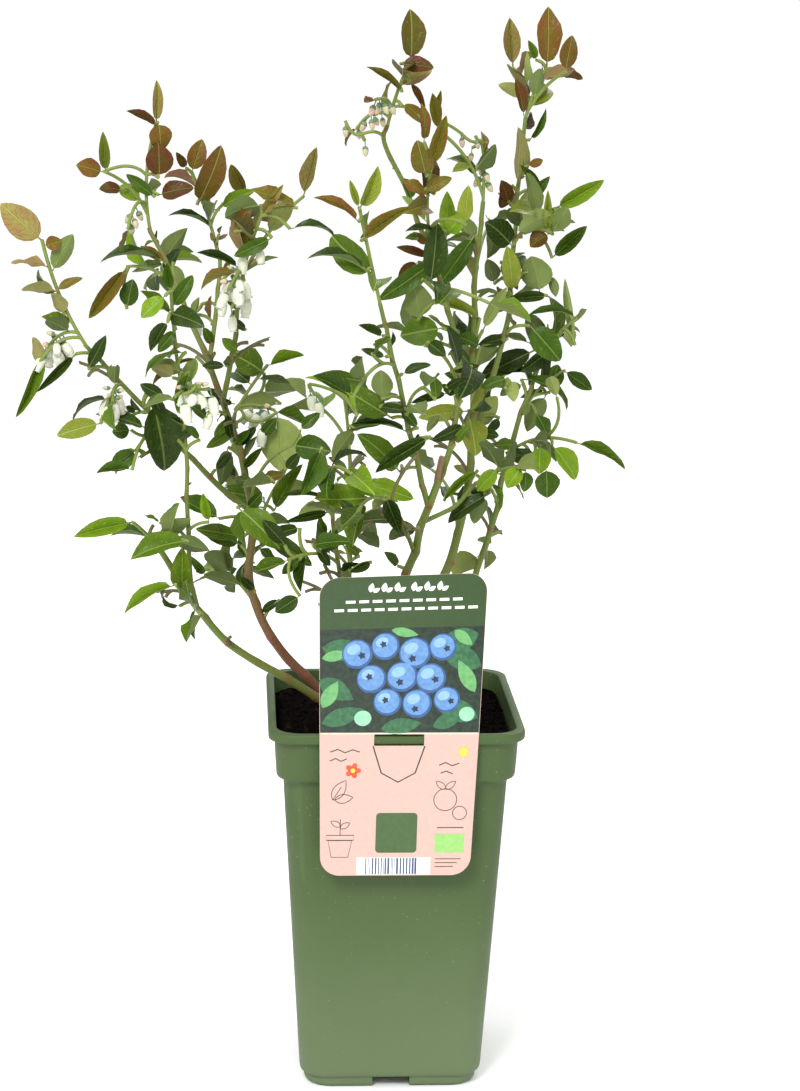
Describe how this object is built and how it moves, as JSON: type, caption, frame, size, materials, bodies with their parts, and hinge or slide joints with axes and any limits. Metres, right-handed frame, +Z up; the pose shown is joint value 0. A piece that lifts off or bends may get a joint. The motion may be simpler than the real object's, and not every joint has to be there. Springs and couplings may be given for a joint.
{
  "type": "potted blueberry bush",
  "caption": "Young highbush blueberry with slim canes, oval leaves and hanging white bell flowers, growing in a tall square nursery pot with a plant label on its rim.",
  "frame": {"origin": "middle of the flat underside of the pot's foot, on the ground", "axes": "+Z up along the pot's height, -Y to the front where the label card hangs, +X to the right as seen from the front"},
  "size_m": [0.347, 0.2558, 0.5948],
  "materials": {
    "pot_plastic": "satin green",
    "compost": "dark, rough and crumbly",
    "card": "laminated card",
    "green_bark": "smooth green shoot",
    "brown_bark": "brown bark with reddish nodes",
    "green_foliage": "glossy leaf",
    "bronze_foliage": "young bronze leaf"
  },
  "bodies": {
    "root": {"pot": "pot_plastic", "soil": "compost", "label_card": "card", "cane_arching_left": "green_bark", "cane_main_left": "brown_bark", "cane_front_right": "green_bark", "cane_tall_right": "green_bark", "cane_outer_right": "green_bark", "cane_young_front": "green_bark", "cane_young_back": "green_bark", "bough_far_left": "green_bark", "bough_slim_left": "green_bark", "bough_upper_left": "green_bark", "bough_inner_left": "green_bark", "bough_centre": "green_bark", "bough_top_centre": "green_bark", "bough_low_right": "green_bark", "bough_low_centre": "green_bark", "bough_top_right": "green_bark", "leaves_far_left_top": "bronze_foliage", "leaves_far_left_low": "green_foliage", "leaves_left_side": "green_foliage", "leaves_low_left": "green_foliage", "leaves_low_left_under": "green_foliage", "leaves_top_left": "bronze_foliage", "leaves_upper_left": "green_foliage", "leaves_top_inner_left": "bronze_foliage", "leaves_inner_left": "green_foliage", "leaves_slim_left_top": "bronze_foliage", "leaves_slim_left_mid": "green_foliage", "leaves_mid_left": "green_foliage", "leaves_centre_left": "green_foliage", "leaves_left_low": "green_foliage", "leaves_left_foot": "green_foliage", "leaves_left_back": "green_foliage", "leaves_young_front": "green_foliage", "leaves_young_front_low": "green_foliage", "leaves_young_back": "green_foliage", "leaves_young_back_low": "green_foliage", "leaves_centre_top": "bronze_foliage", "leaves_centre_upper": "green_foliage", "leaves_centre": "green_foliage", "leaves_low_centre": "green_foliage", "leaves_mid_centre": "green_foliage", "leaves_high_centre": "green_foliage", "leaves_upper_centre": "green_foliage", "leaves_top_centre": "bronze_foliage", "leaves_top_tall_right": "bronze_foliage", "leaves_back_right": "green_foliage", "leaves_mid_right": "green_foliage", "leaves_mid_back": "green_foliage", "leaves_low_back": "green_foliage", "leaves_top_right": "bronze_foliage", "leaves_upper_right": "green_foliage", "leaves_upper_right_back": "green_foliage", "leaves_right_tip": "green_foliage", "leaves_right_side": "green_foliage", "leaves_right_low": "green_foliage", "leaves_low_right": "green_foliage", "leaves_right_foot": "green_foliage"}
  },
  "joints": []
}
